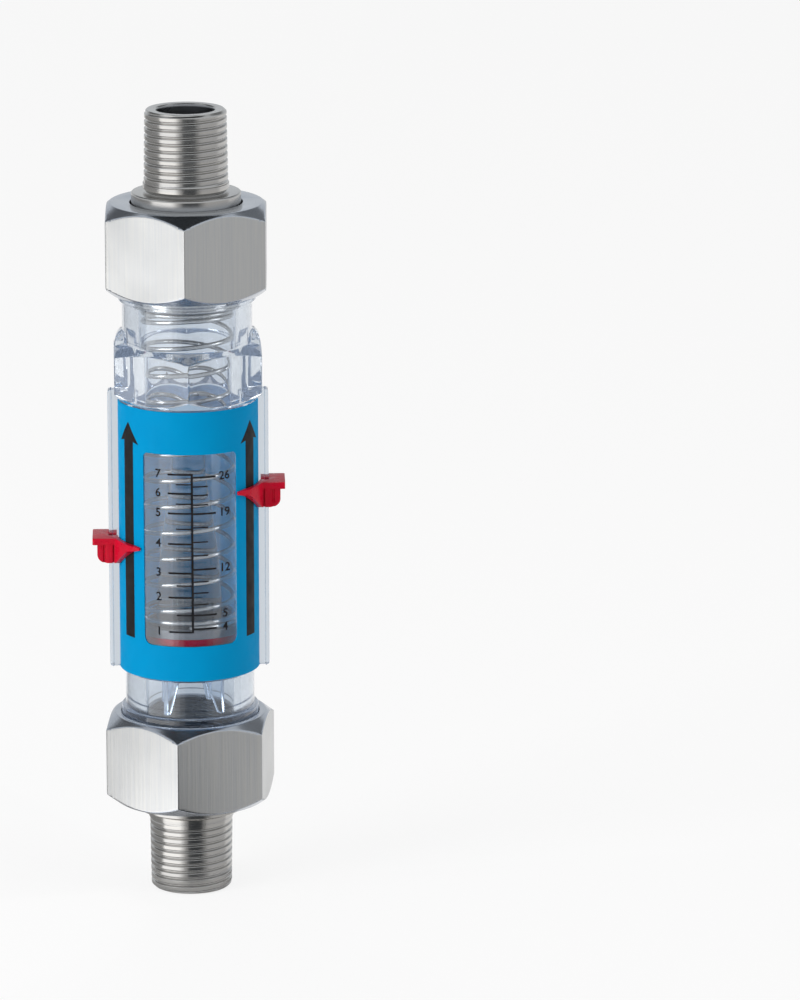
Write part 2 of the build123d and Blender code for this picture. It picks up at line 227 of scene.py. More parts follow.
# Radius of a hexagon with slightly rounded corners
def hexagon(flats, corner, angles, crispness=280):
    total = np.zeros(angles.shape)
    for flat in range(6):
        facing = np.cos(angles - radians(corner + 30 + 60 * flat))
        total += np.clip(facing, 0, 1) ** crispness
    return flats / 2 / total ** (1 / crispness)


# Smaller of two radii, with the edge between them rounded
def soft_minimum(a, b, blend=0.22):
    overlap = np.clip(blend - np.abs(a - b), 0, None) / blend
    return np.minimum(a, b) - overlap * overlap * blend / 4


# Threaded surface between two heights; its rows follow the helix and are held at the two ends
def threaded(z0, z1, pitch, phases, columns, radius_at):
    first = int(z0 // pitch) - 1
    steps = len(phases)
    count = (ceil(z1 / pitch) - first + 2) * steps
    row = np.arange(count)
    turn = np.arange(columns) / columns
    height = pitch * (first + row[:, None] // steps + np.array(phases)[row % steps][:, None] + turn)
    z = np.clip(height, z0, z1)
    angles = np.broadcast_to(2 * pi * turn, z.shape)
    radius = radius_at(z, (z / pitch - turn) % 1)
    points = np.stack([radius * np.cos(angles), radius * np.sin(angles), z], axis=-1)
    faces = []
    for column in range(columns):
        beside = (column + 1) % columns
        shift = steps if beside == 0 else 0
        for r in range(count - 1 - shift):
            quad = ((r, column), (r + shift, beside), (r + 1 + shift, beside), (r + 1, column))
            if len({z[q] for q in quad}) > 1:
                faces.append([q[0] * columns + q[1] for q in quad])
    return points.reshape(-1, 3), faces


groove_floor = 0.15         # share of a groove's width that its floor takes


# Share of the thread's depth for a phase of the pitch: 0 on the land and 1 on the groove's floor
def groove(phase, width):
    across = np.abs(phase - 0.5) * 2 / width
    deep = np.clip((1 - across) / (1 - groove_floor), 0, 1)
    return deep * deep * (3 - 2 * deep)


# Phases of the rows that follow a groove: its floor, its two flanks and the land
def groove_phases(width):
    edge = width / 2
    floor = edge * groove_floor
    half = [floor + (edge - floor) * k / 5 for k in range(6)] + [edge + 0.03, (edge + 0.5) / 2]
    return sorted([0.0, 0.5] + [0.5 - h for h in half] + [0.5 + h for h in half])


# Materials
shadow_tint = (0.97, 0.98, 0.995)
# Colour of the glow painted on clear pieces, and after how many reflections it starts: painted light
painted_glow_colour = (0.17, 0.22, 0.31)
glow_after = 2.5          # reflections


def new_material(name):
    material = bpy.data.materials.new(name)
    material.use_nodes = True
    tree = material.node_tree
    return material, tree, tree.nodes["Principled BSDF"]


def link(tree, a, b):
    tree.links.new(a, b)


def object_noise(tree, scale, detail, stretch=(1, 1, 1)):
    place = tree.nodes.new("ShaderNodeTexCoord")
    mapping = tree.nodes.new("ShaderNodeMapping")
    mapping.inputs["Scale"].default_value = stretch
    noise = tree.nodes.new("ShaderNodeTexNoise")
    noise.inputs["Scale"].default_value = scale
    noise.inputs["Detail"].default_value = detail
    link(tree, place.outputs["Object"], mapping.inputs["Vector"])
    link(tree, mapping.outputs["Vector"], noise.inputs["Vector"])
    return noise.outputs["Fac"]


def ramp(tree, value, start, end, low_value, high_value):
    node = tree.nodes.new("ShaderNodeMapRange")
    node.inputs["From Min"].default_value = start
    node.inputs["From Max"].default_value = end
    node.inputs["To Min"].default_value = low_value
    node.inputs["To Max"].default_value = high_value
    link(tree, value, node.inputs["Value"])
    return node.outputs["Result"]


def colours(tree, value, first, second):
    node = tree.nodes.new("ShaderNodeMix")
    node.data_type = "RGBA"
    node.inputs[6].default_value = (*first, 1)
    node.inputs[7].default_value = (*second, 1)
    link(tree, value, node.inputs[0])
    return node.outputs[2]


def bump(tree, shader, height, strength, distance):
    node = tree.nodes.new("ShaderNodeBump")
    node.inputs["Strength"].default_value = strength
    node.inputs["Distance"].default_value = distance
    link(tree, height, node.inputs["Height"])
    link(tree, node.outputs["Normal"], shader.inputs["Normal"])


def arithmetic(tree, operation, value, number):
    node = tree.nodes.new("ShaderNodeMath")
    node.operation = operation
    node.inputs[1].default_value = number
    link(tree, value, node.inputs[0])
    return node.outputs[0]


def emission(tree, colour, strength=1.0):
    node = tree.nodes.new("ShaderNodeEmission")
    node.inputs["Color"].default_value = (*colour, 1)
    node.inputs["Strength"].default_value = strength
    return node.outputs[0]


def mixed(tree, share, first, second):
    node = tree.nodes.new("ShaderNodeMixShader")
    link(tree, share, node.inputs[0])
    link(tree, first, node.inputs[1])
    link(tree, second, node.inputs[2])
    return node.outputs[0]


# Lets the lamps reach what is behind a clear piece; once a ray has reflected more than a few times in its
# walls, the piece shows a set glow there instead: painted light
def lit_through(tree, shader):
    path = tree.nodes.new("ShaderNodeLightPath")
    clear = tree.nodes.new("ShaderNodeBsdfTransparent")
    clear.inputs["Color"].default_value = (*shadow_tint, 1)
    lit = mixed(tree, path.outputs["Is Shadow Ray"], shader.outputs[0], clear.outputs[0])
    # Past that many reflections the clear piece glows in a set colour: painted light
    glow_share = arithmetic(tree, "GREATER_THAN", path.outputs["Glossy Depth"], glow_after)
    seen = mixed(tree, glow_share, lit, emission(tree, painted_glow_colour))
    link(tree, seen, tree.nodes["Material Output"].inputs["Surface"])


def clear_plastic(name, tint, ior, roughness, coat=0.0):
    material, tree, shader = new_material(name)
    shader.inputs["Base Color"].default_value = (*tint, 1)
    shader.inputs["Transmission Weight"].default_value = 1.0
    shader.inputs["IOR"].default_value = ior
    shader.inputs["Coat Weight"].default_value = coat
    cloud = object_noise(tree, scale=90, detail=3)
    link(tree, ramp(tree, cloud, 0.35, 0.75, roughness * 0.5, roughness * 1.6), shader.inputs["Roughness"])
    bump(tree, shader, object_noise(tree, scale=60, detail=2), strength=0.02, distance=0.001)
    lit_through(tree, shader)
    return material


# Turns a material's colour from one to another between two heights, in millimetres
def grade(material, lower, upper, start, end):
    tree = material.node_tree
    place = tree.nodes.new("ShaderNodeTexCoord")
    split = tree.nodes.new("ShaderNodeSeparateXYZ")
    link(tree, place.outputs["Object"], split.inputs[0])
    share = ramp(tree, split.outputs["Z"], start * MM, end * MM, 0, 1)
    link(tree, colours(tree, share, lower, upper), tree.nodes["Principled BSDF"].inputs["Base Color"])
    return material


def steel(name, tone, roughness, grain, grain_scale, grain_depth, contrast):
    material, tree, shader = new_material(name)
    shader.inputs["Metallic"].default_value = 1.0
    lines = object_noise(tree, grain_scale, 4, grain)
    cloud = object_noise(tree, scale=45, detail=3)
    warm = tuple(c * f for c, f in zip(tone, (1.04, 1.02, 0.98)))
    dull = tuple(c * (1 - contrast) for c in tone)
    link(tree, colours(tree, ramp(tree, lines, 0.3, 0.7, 0, 1), dull, warm), shader.inputs["Base Color"])
    link(tree, ramp(tree, cloud, 0.3, 0.75, roughness * 0.8, roughness * 1.25), shader.inputs["Roughness"])
    bump(tree, shader, lines, grain_depth, distance=0.0002)
    return material


def plain_plastic(name, first, second, roughness, cloud_scale=120, gloss=0.5):
    material, tree, shader = new_material(name)
    cloud = object_noise(tree, cloud_scale, detail=3)
    patches = object_noise(tree, scale=400, detail=2)
    link(tree, colours(tree, ramp(tree, cloud, 0.3, 0.7, 0, 1), first, second), shader.inputs["Base Color"])
    link(tree, ramp(tree, patches, 0.3, 0.7, roughness * 0.8, roughness * 1.2), shader.inputs["Roughness"])
    bump(tree, shader, object_noise(tree, scale=900, detail=2), strength=0.06, distance=0.0002)
    shader.inputs["Specular IOR Level"].default_value = gloss
    return material


# Clear mouldings: the body painted darker at its inlet end, below the barrel, as painted shade; the cone
# greyer towards its thick lower end
shaded_low_clear = (0.81, 0.86, 0.92)
clear_tint = (0.885, 0.92, 0.968)
lower_cone = (0.74, 0.77, 0.80)
upper_cone = (0.90, 0.945, 0.99)
# The body's inlet end takes the darker tint: painted shade
body_clear = grade(clear_plastic("body_clear", clear_tint, ior=1.58, roughness=0.012, coat=1.0),
                   shaded_low_clear, clear_tint, start=56, end=60)
blade_clear = clear_plastic("blade_clear", (0.7, 0.785, 0.885), ior=1.42, roughness=0.1)
cone_clear = grade(clear_plastic("cone_clear", upper_cone, ior=1.12, roughness=0.15),
                   lower_cone, upper_cone, start=80, end=108)

# Steels, each with a grain that is stretched along the meter, round it or not at all
along_meter = (1, 1, 0.02)
round_meter = (0.02, 0.02, 1)
even = (1, 1, 1)
nut_steel = steel("nut_steel", (0.60, 0.61, 0.62), roughness=0.34, grain=along_meter, grain_scale=1900,
                  grain_depth=0.15, contrast=0.06)
face_steel = steel("face_steel", (0.53, 0.565, 0.63), roughness=0.2, grain=even, grain_scale=160,
                   grain_depth=0.06, contrast=0.1)
turned_steel = steel("turned_steel", (0.54, 0.535, 0.53), roughness=0.22, grain=round_meter,
                     grain_scale=1500, grain_depth=0.015, contrast=0.1)
# Darker steel for the bores and the nuts' threaded chambers: painted shade
shaded_bore_steel = steel("shaded_bore_steel", (0.34, 0.35, 0.37), roughness=0.3, grain=round_meter, grain_scale=1200,
                   grain_depth=0.02, contrast=0.15)
# Steel of the funnel, brighter and bluer than the others: painted light on its dark inside
lit_funnel_steel = steel("lit_funnel_steel", (0.86, 0.91, 0.97), roughness=0.5, grain=round_meter,
                     grain_scale=1200, grain_depth=0.02, contrast=0.15)
spring_steel = steel("spring_steel", (0.62, 0.615, 0.605), roughness=0.24, grain=even, grain_scale=500,
                     grain_depth=0.05, contrast=0.1)

# Plain plastics, ink and rubber
# Inside of the labels: brighter blue below the window's top than above it, painted light
painted_bright_back = (0.18, 0.62, 1.0)
back_high = (0.3, 0.42, 0.59)
label_face = plain_plastic("label_face", (0.0, 0.285, 0.59), (0.0, 0.3, 0.61), roughness=0.55, gloss=0.03)
label_back = grade(plain_plastic("label_back", painted_bright_back, back_high, roughness=0.5, gloss=0.1),
                   painted_bright_back, back_high, start=117, end=122)
ink = plain_plastic("ink", (0.012, 0.012, 0.014), (0.02, 0.02, 0.022), roughness=0.5, cloud_scale=300,
                    gloss=0.1)
red_plastic = plain_plastic("red_plastic", (0.58, 0.0, 0.022), (0.63, 0.002, 0.028), roughness=0.3,
                            cloud_scale=200, gloss=0.2)
band_red = plain_plastic("band_red", (0.4, 0.002, 0.02), (0.45, 0.004, 0.025), roughness=0.35,
                         cloud_scale=200, gloss=0.2)
piston_plastic = plain_plastic("piston_plastic", (0.16, 0.17, 0.19), (0.2, 0.21, 0.23), roughness=0.4)
rubber = plain_plastic("rubber", (0.015, 0.015, 0.015), (0.03, 0.03, 0.03), roughness=0.6)


def paint(obj, *materials):
    obj.data.materials.clear()
    for material in materials:
        obj.data.materials.append(material)


def finish_piece(obj, body, replaced=(), materials=()):
    if materials:
        paint(obj, *materials)
    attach(obj, body)
    if replaced:
        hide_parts(*replaced)


# Height at a distance in from the piece's own end of the meter; given a height, that distance
def from_end(value, flipped):
    return meter_height - value if flipped else value


# Faces of a piece, each with its middle's distance from the axis and from the piece's own end
def placed_faces(piece, flipped):
    for face in piece.data.polygons:
        middle = face.center / MM
        yield face, sqrt(middle.x ** 2 + middle.y ** 2), from_end(middle.z, flipped)


# Connectors: pipe thread, plain ring, collar, flange with its seal groove, funnel and bore
connector_columns = 192
thread_pitch = 1.814
thread_depth = 0.52
thread_groove = 0.52        # share of the pitch that the groove takes
thread_length = 18.5
thread_taper = 0.3          # end's radius is this much smaller
thread_chamfer = 0.95
thread_chamfer_slope = 1.05
thread_land = 0.2           # plain length between the groove's end and the ring
thread_fade = 0.7           # length over which the groove ends
passage_r = 7.3
plain_r = thread_r + 0.25
collar_start = 20.9
collar_r = 13.8
flange_r = 16.0
nut_inner = 27.7
body_end = 31.8
seal_groove_inner_r = 12.9
seal_groove_outer_r = 15.1
seal_groove_depth = 2.0
funnel_r = 11.2
funnel_depth = 8.0


# Radius of the thread at a height and a phase of its pitch
def thread_surface(z, phase, flipped):
    inwards = from_end(z, flipped)
    fade = np.clip((thread_length - thread_land - inwards) / thread_fade, 0, 1)
    surface = thread_r - thread_taper * (1 - inwards / thread_length)
    surface = surface - thread_depth * fade * groove(phase, thread_groove)
    return soft_minimum(surface, thread_r - thread_chamfer + inwards * thread_chamfer_slope, 0.12)


# From the bore over the end face to the thread, as (radius, distance in from the end)
def mouth_outline():
    return [
        (passage_r, 3.0), (passage_r, 0.9), (passage_r, 0.5), (passage_r + 0.1, 0.25),
        (passage_r + 0.3, 0.08), (passage_r + 0.5, 0.0), (thread_r - thread_chamfer - 0.4, 0.0),
    ]


# From the thread over the collar and the flange to the bore, as (radius, distance in from the end)
def collar_outline():
    return [
        (plain_r - 0.35, thread_length), (plain_r, thread_length + 0.12), (plain_r, collar_start - 1.05),
        (plain_r - 0.3, collar_start - 0.8), (plain_r - 0.6, collar_start - 0.45),
        (plain_r - 0.7, collar_start - 0.15), (plain_r - 0.55, collar_start), (collar_r - 0.5, collar_start),
        (collar_r - 0.2, collar_start + 0.08), (collar_r - 0.06, collar_start + 0.22),
        (collar_r, collar_start + 0.45), (collar_r, collar_start + 0.53), (collar_r, nut_inner - 0.1),
        (collar_r, nut_inner), (flange_r - 0.3, nut_inner), (flange_r, nut_inner + 0.3), (flange_r, body_end),
        (seal_groove_outer_r, body_end), (seal_groove_outer_r, body_end - seal_groove_depth),
        (seal_groove_inner_r, body_end - seal_groove_depth), (seal_groove_inner_r, body_end),
        (funnel_r, body_end), (passage_r, body_end - funnel_depth), (passage_r, 3.0),
    ]


def connector(name, flipped):
    angles = turns(connector_columns)

    def radius_at(z, phase):
        return thread_surface(z, phase, flipped)

    def level(radius, inwards):
        return ring(radius, from_end(inwards, flipped), angles)

    ends = (from_end(0.0, flipped), from_end(thread_length, flipped))
    thread = threaded(*sorted(ends), thread_pitch, groove_phases(thread_groove), connector_columns, radius_at)
    outer_end, inner_end = (
        ring(radius_at(np.full(connector_columns, z), (z / thread_pitch - angles / (2 * pi)) % 1), z, angles)
        for z in ends
    )
    inside = strip([level(r, inwards) for r, inwards in mouth_outline()] + [outer_end])
    rest = strip([inner_end] + [level(r, inwards) for r, inwards in collar_outline()])
    piece = add_object(name, *join([inside, thread, rest]), 38)
    paint(piece, turned_steel, shaded_bore_steel, lit_funnel_steel)
    # Bores take the darker steel, painted shade, and the funnel the brighter, bluer one, painted light
    for face, reach, inwards in placed_faces(piece, flipped):
        if reach < passage_r + 0.05:
            face.material_index = 1
        elif inwards > body_end - funnel_depth and reach < funnel_r + 0.1:
            face.material_index = 2
    finish_piece(piece, "meter", [name.replace("_turned", "")])


connector("inlet_connector_turned", False)
connector("outlet_connector_turned", True)

# Union nuts: hexagon cut by a cone at each end, hole for the collar, threaded chamber
nut_start = 23.5
nut_mouth = 46.4
nut_hole_r = 14.15
nut_bore_r = 17.15
nut_chamfer_r = 19.25
nut_chamfer_depth = 3.0
nut_thread_pitch = 2.0
nut_thread_depth = 0.6
inlet_nut_turn = -8.35
outlet_nut_turn = -1.4


# Rows of the nut's outside, as (radii, distance from its near end): a hexagon cut by two cones
def nut_outside(outline):
    edge = 0.12
    length = nut_mouth - nut_start
    steepness = (nut_flats / sqrt(3) - nut_chamfer_r) / nut_chamfer_depth
    near_end = [0.03, 0.1] + list(np.arange(0.2, nut_chamfer_depth + 0.6, 0.11))
    rows = []
    for along in near_end + [length - d for d in reversed(near_end)]:
        from_edge = min(along, length - along)
        cone = nut_chamfer_r - edge * max(0, 1 - from_edge / edge) + from_edge * steepness
        rows.append((soft_minimum(outline, cone), along))
    return rows


def nut(name, flipped, turn):
    angles = hexagon_turns(turn - 90)

    def level(radius, inwards):
        return ring(radius, from_end(inwards, flipped), angles)

    rings = [level(nut_hole_r, nut_start + 0.35), level(nut_hole_r + 0.1, nut_start + 0.1),
             level(nut_hole_r + 0.3, nut_start), level(nut_chamfer_r - 0.35, nut_start)]
    for radii, along in nut_outside(hexagon(nut_flats, turn - 90, angles)):
        rings.append(level(radii, nut_start + along))
    rings += [level(nut_chamfer_r - 0.35, nut_mouth), level(nut_bore_r + 0.7, nut_mouth),
              level(nut_bore_r + 0.55, nut_mouth - 0.08)]
    for inwards in np.arange(nut_mouth - 0.6, nut_inner + 1.2, -nut_thread_pitch / 2):
        rings.append(level(nut_bore_r, inwards))
        rings.append(level(nut_bore_r + nut_thread_depth, inwards - nut_thread_pitch / 4))
    rings += [level(nut_bore_r + 0.2, nut_inner + 1.0), level(nut_bore_r + 0.2, nut_inner),
              level(nut_hole_r, nut_inner)]
    piece = skin(name, rings, 30)
    paint(piece, nut_steel, face_steel, shaded_bore_steel)
    # The threaded chamber takes the darker steel: painted shade
    for face, reach, inwards in placed_faces(piece, flipped):
        if inwards > nut_inner and reach < nut_bore_r + nut_thread_depth:
            face.material_index = 2
        elif abs(face.normal.z) > 0.3 or reach < nut_flats / 2 - 1:
            face.material_index = 1
    finish_piece(piece, "meter", [name.replace("_milled", "")])


nut("inlet_union_nut_milled", False, inlet_nut_turn)
nut("outlet_union_nut_milled", True, outlet_nut_turn)

# Clear body
shell_r = 14.6              # inner radius before the walls are filled in and bored
body_thread_r = 17.0
stop_ring_r = 17.4
stop_ring = 46.2
stop_ring_height = 2.1
neck_r = 16.4
barrel_bottom = 58.45
barrel_top = 129.8
lower_bore_r = 11.2
bore_entry = 1.0            # chamfer where the fluid comes in
cone_shelf = 60.0
upper_bore_r = 13.2
split_ring_r = 13.9
split_ring_height = 1.3
wrench_flats = 37.1
wrench_bottom = 128.6
wrench_chamfer = 2.8
wrench_shoulder = 140.9
wrench_top = 142.8
wrench_turn = 0.7
wrench_inner_r = 15.2
wrench_row = 0.15
lug_inner_r = 15.6
lug_r = 18.4
lug_start = 142.4
lug_bend = (18.12, 145.5)
lug_top = 146.0
lug_edge = ((3.0, 0.5), (2.9, 0.25), (2.7, 0.1), (2.4, 0.0))
rail_root = 16.9
rail_web = 2.2
rail_bead = 3.2
rail_bead_depth = 0.9
rail_bottom = 58.4
rail_top = 130.5
rail_end_round = 0.7


def body_outside():
    upper_ring = meter_height - stop_ring
    return lathe("body_moulding", [
        (shell_r, body_bottom), (body_thread_r, body_bottom, 0.3), (body_thread_r, stop_ring),
        (stop_ring_r, stop_ring, 0.12), (stop_ring_r, stop_ring + stop_ring_height, 0.35),
        (neck_r, stop_ring + stop_ring_height, 0.35), (neck_r, barrel_bottom - 0.45, 0.3),
        (barrel_r, barrel_bottom, 0.15), (barrel_r, barrel_top, 0.3), (neck_r, barrel_top + 1.2),
        (neck_r, upper_ring - stop_ring_height, 0.35), (stop_ring_r, upper_ring - stop_ring_height, 0.35),
        (stop_ring_r, upper_ring, 0.12), (body_thread_r, upper_ring), (body_thread_r, body_top, 0.3),
        (shell_r, body_top),
    ])


# Hexagon for a wrench, cut by one cone at the barrel and by another at the neck
def wrench():
    angles = hexagon_turns(wrench_turn - 90)
    outline = hexagon(wrench_flats, wrench_turn - 90, angles, 160)
    corner_r = wrench_flats / sqrt(3)
    envelope = rounded([
        (wrench_inner_r, wrench_bottom), (barrel_r + 0.1, wrench_bottom, 0.2),
        (corner_r, wrench_bottom + wrench_chamfer), (corner_r, wrench_shoulder),
        (neck_r + 0.4, wrench_top, 0.15), (neck_r + 0.15, wrench_top + 0.1),
        (neck_r + 0.02, wrench_top + 0.35), (wrench_inner_r, wrench_top + 0.35),
    ], 8)
    inside = wrench_inner_r + 0.1
    rings = []
    for (r0, z0), (r1, z1) in zip(envelope, envelope[1:] + envelope[:1]):
        pieces = 1 if max(r0, r1) < inside else max(1, ceil(abs(z1 - z0) / wrench_row))
        for k in range(pieces):
            r, z = r0 + (r1 - r0) * k / pieces, z0 + (z1 - z0) * k / pieces
            rings.append(ring(soft_minimum(outline, r, 0.3) if r > inside else r, z, angles))
    return skin("wrench", rings)


# What the bore takes away, from the inlet's end to the outlet's
def body_bore():
    entry_r = lower_bore_r + bore_entry
    inner_r = lower_bore_r - 1.2
    return lathe("bore", [
        (inner_r, body_bottom - 1), (entry_r, body_bottom - 1), (entry_r, body_bottom),
        (lower_bore_r, body_bottom + bore_entry, 0.2), (lower_bore_r, cone_shelf), (bore_r, cone_shelf, 0.1),
        (bore_r, seat_bottom), (upper_bore_r, seat_bottom), (upper_bore_r, seat_top),
        (split_ring_r, seat_top), (split_ring_r, seat_top + split_ring_height),
        (upper_bore_r, seat_top + split_ring_height), (upper_bore_r, body_top + 1),
        (shell_r + 2, body_top + 1), (shell_r + 2, body_top + 2), (inner_r, body_top + 2),
    ])


def clear_body():
    body = body_outside()
    combine(body, wrench(), "UNION")
    for side in (-1, 1):
        combine(body, rail(side), "UNION")
        combine(body, lug(side), "UNION")
    fill_inner_r, fill_outer_r = lower_bore_r - 0.2, shell_r + 0.4
    combine(body, lathe("fill", [
        (fill_inner_r, body_bottom), (fill_outer_r, body_bottom), (fill_outer_r, body_top),
        (fill_inner_r, body_top),
    ]), "UNION")
    combine(body, body_bore(), "DIFFERENCE")
    face_outwards(body, 28)
    finish_piece(body, "meter", ["body"], [body_clear])


# Rounded shoulder above the wrench section, one at each side
def lug(side):
    start, control, end = np.array([[lug_r, lug_start], lug_bend, [neck_r, lug_top]])
    outline = [(lug_inner_r, wrench_shoulder), (lug_r, wrench_shoulder)]
    for t in np.linspace(0, 1, 13):
        outline.append(tuple(start * (1 - t) ** 2 + control * 2 * t * (1 - t) + end * t ** 2))
    outline.append((lug_inner_r, lug_top - 0.3))
    points = []
    for y, inset in [(-y, inset) for y, inset in lug_edge] + list(reversed(lug_edge)):
        for x, z in outline:
            shift = inset if x > lug_inner_r else 0
            points.append((side * (x - shift), y, z - (inset if z > lug_start else 0)))
    return stacked("lug", points, len(outline))


# Beaded rail that a pointer slides on, one at each side
def rail(side):
    half = rail_web / 2
    bead = rail_bead / 2
    step = rail_reach - rail_bead_depth
    section = rounded([
        (rail_root, -half), (step, -half, 0.15), (step, -bead, 0.12), (rail_reach, -bead, 0.25),
        (rail_reach, bead, 0.25), (step, bead, 0.12), (step, half, 0.15), (rail_root, half),
    ])
    ends = (0, 0.1, 0.35, rail_end_round)
    points = []
    for z in [rail_bottom + d for d in ends] + [rail_top - d for d in reversed(ends)]:
        drop = max(0, rail_end_round - min(z - rail_bottom, rail_top - z))
        inset = rail_end_round - sqrt(max(0, rail_end_round ** 2 - drop ** 2))
        for x, y in section:
            points.append((side * (x - (inset if x > rail_reach - rail_end_round else 0)), y, z))
    return stacked("rail", points, len(section))


clear_body()

# Labels: front one with a window, back one plain; blue outside, pale inside, and the inside painted brighter
# below the window's top as painted light
window_bottom = 67.6
window_top = 117.3
window_half_angle = 41.0
window_turn = 1.4
window_low_corner = 2.2
window_high_corner = 1.3
label_thickness = 0.17
label_rail_gap = 0.35


def wrapped(angle, z, radius):
    bearing = radians(angle - 90)
    return (radius * cos(bearing), radius * sin(bearing), z)


# Heights between which the label is open at an angle; the window's corners are round
def window_edges(angle):
    from_side = (window_half_angle - abs(angle - window_turn)) * radians(1) * label_outer_r
    out = []
    for corner, edge, inward in ((window_low_corner, window_bottom, 1), (window_high_corner, window_top, -1)):
        inside = min(max(corner - from_side, 0), corner)
        out.append(edge + inward * (corner - sqrt(corner ** 2 - inside ** 2)))
    return out


# Angles of the label's columns, two of which are the window's sides
def label_angles(front):
    reach = degrees(asin((rail_bead / 2 + label_rail_gap) / label_outer_r))
    start, end = -90 + reach, 90 - reach
    if not front:
        return np.linspace(start + 180, end + 180, 320)
    window_start, window_end = window_turn - window_half_angle, window_turn + window_half_angle
    return np.concatenate([
        np.linspace(start, window_start, 90, endpoint=False),
        np.linspace(window_start, window_end, 164, endpoint=False),
        np.linspace(window_end, end, 90),
    ])


def label(name, front):
    angles = label_angles(front)
    points, faces = [], []
    for angle in angles:
        edges = window_edges(angle) if front else [window_bottom, window_top]
        points += [wrapped(angle, z, label_outer_r) for z in (label_bottom, *edges, label_top)]
    for k, (here, there) in enumerate(zip(angles, angles[1:])):
        middle = (here + there) / 2
        in_window = front and abs(middle - window_turn) < window_half_angle
        for row in (0, 2) if in_window else (0, 1, 2):
            a = 4 * k + row
            faces.append([a, a + 4, a + 5, a + 1])
    sheet = add_object(name, points, faces, 60)
    paint(sheet, label_face, label_back)
    thicken(sheet, label_thickness, -1, inner_material=1)
    finish_piece(sheet, "meter", [name.replace("_printed", "")])


# Gives a sheet its thickness, inwards for an offset of -1 and outwards for 1
def thicken(sheet, thickness, offset, inner_material=0):
    flip_to_outside(sheet)
    modifier = sheet.modifiers.new("thickness", "SOLIDIFY")
    modifier.thickness = thickness * MM
    modifier.offset = offset
    modifier.material_offset = inner_material
    modifier.material_offset_rim = 0
    apply_modifiers(sheet)
    face_outwards(sheet, 40)


# Turns a sheet's faces away from the axis
def flip_to_outside(sheet):
    wrong = [f.index for f in sheet.data.polygons if f.center.x * f.normal.x + f.center.y * f.normal.y < 0]
    bm = bmesh.new()
    bm.from_mesh(sheet.data)
    bm.faces.ensure_lookup_table()
    bmesh.ops.reverse_faces(bm, faces=[bm.faces[i] for i in wrong])
    bm.to_mesh(sheet.data)
    bm.free()


label("front_label_printed", True)
label("back_label_printed", False)

# Printed scale on the window: a column of numbers at each side of a centre line
print_r = barrel_r + 0.03
print_thickness = 0.03
scale_line = 2.7                # degrees from the front
left_major = ((7, 112.25), (6, 107.35), (5, 102.2), (4, 94.3), (3, 86.75), (2, 80.4), (1, 71.4))
left_minor = (109.7, 104.7, 98.2, 90.3, 83.5, 75.8)
right_major = ((26, 111.5), (19, 102.1), (12, 87.7), (5, 75.8), (4, 72.25))
right_minor = (109.1, 106.9, 104.4, 98.55, 94.8, 91.3, 84.5, 81.6, 78.6)
major_reach = 20.0              # degrees from the centre line
minor_reach = 13.2
digit_height = 2.3
digit_weight = 0.05             # thickens the strokes by this on each side
digit_size = 1.32               # size of the letters for a digit of height 1
digit_spacing = 1.04
left_digits = -28.5
right_digits = 28.0
line_half = 0.9                 # half the centre line's width, in degrees
major_line = 0.48
minor_line = 0.36


# Ink between two heights over a run of angles; each column is (angle, low, high)
def patch(columns, radius):
    points, faces = [], []
    for angle, bottom, top in columns:
        points += [wrapped(angle, bottom, radius), wrapped(angle, top, radius)]
    for k in range(len(columns) - 1):
        a = 2 * k
        faces.append([a, a + 2, a + 3, a + 1])
    return points, faces


def line(start, end, z, thickness, radius):
    steps = max(2, ceil(abs(end - start) / 2))
    low_z, high_z = z - thickness / 2, z + thickness / 2
    return patch([(angle, low_z, high_z) for angle in np.linspace(start, end, steps + 1)], radius)


def text(value, angle, z, height, radius):
    curve = bpy.data.curves.new("digits", "FONT")
    curve.body = str(value)
    curve.align_x = "CENTER"
    curve.align_y = "CENTER"
    curve.size = height * digit_size
    curve.offset = digit_weight
    curve.space_character = digit_spacing
    holder = new_object("digits", curve)
    mesh = bpy.data.meshes.new_from_object(holder)
    points = [wrapped(angle + degrees(v.co.x / radius), z + v.co.y, radius) for v in mesh.vertices]
    faces = [list(f.vertices) for f in mesh.polygons]
    bpy.data.objects.remove(holder)
    bpy.data.curves.remove(curve)
    return points, faces


def printed(name, parts):
    mark = add_object(name, *join(parts), 60)
    thicken(mark, print_thickness, 1)
    finish_piece(mark, "meter", (), [ink])


def printed_scale():
    bottom, top = left_major[-1][1] - 0.2, left_major[0][1] + 0.2
    parts = [patch([(scale_line + a, bottom, top) for a in (-line_half, 0, line_half)], print_r)]
    for side, majors, minors, digits in ((-1, left_major, left_minor, left_digits),
                                         (1, right_major, right_minor, right_digits)):
        major_run = sorted(scale_line + side * reach for reach in (line_half, major_reach))
        minor_run = sorted(scale_line + side * reach for reach in (line_half, minor_reach))
        for value, z in majors:
            parts.append(line(*major_run, z, major_line, print_r))
            parts.append(text(value, scale_line + digits, z, digit_height, print_r))
        for z in minors:
            parts.append(line(*minor_run, z, minor_line, print_r))
    printed("scale_print", parts)


# Flow arrows on the label
arrow_angle = 59.0
arrow_tip = 124.2
arrow_base = 119.4
arrow_barb = 118.8
arrow_bottom = 68.4
arrow_head_half = 13.0
arrow_shaft_half = 6.5
arrow_lift = 0.005          # from the label to the ink


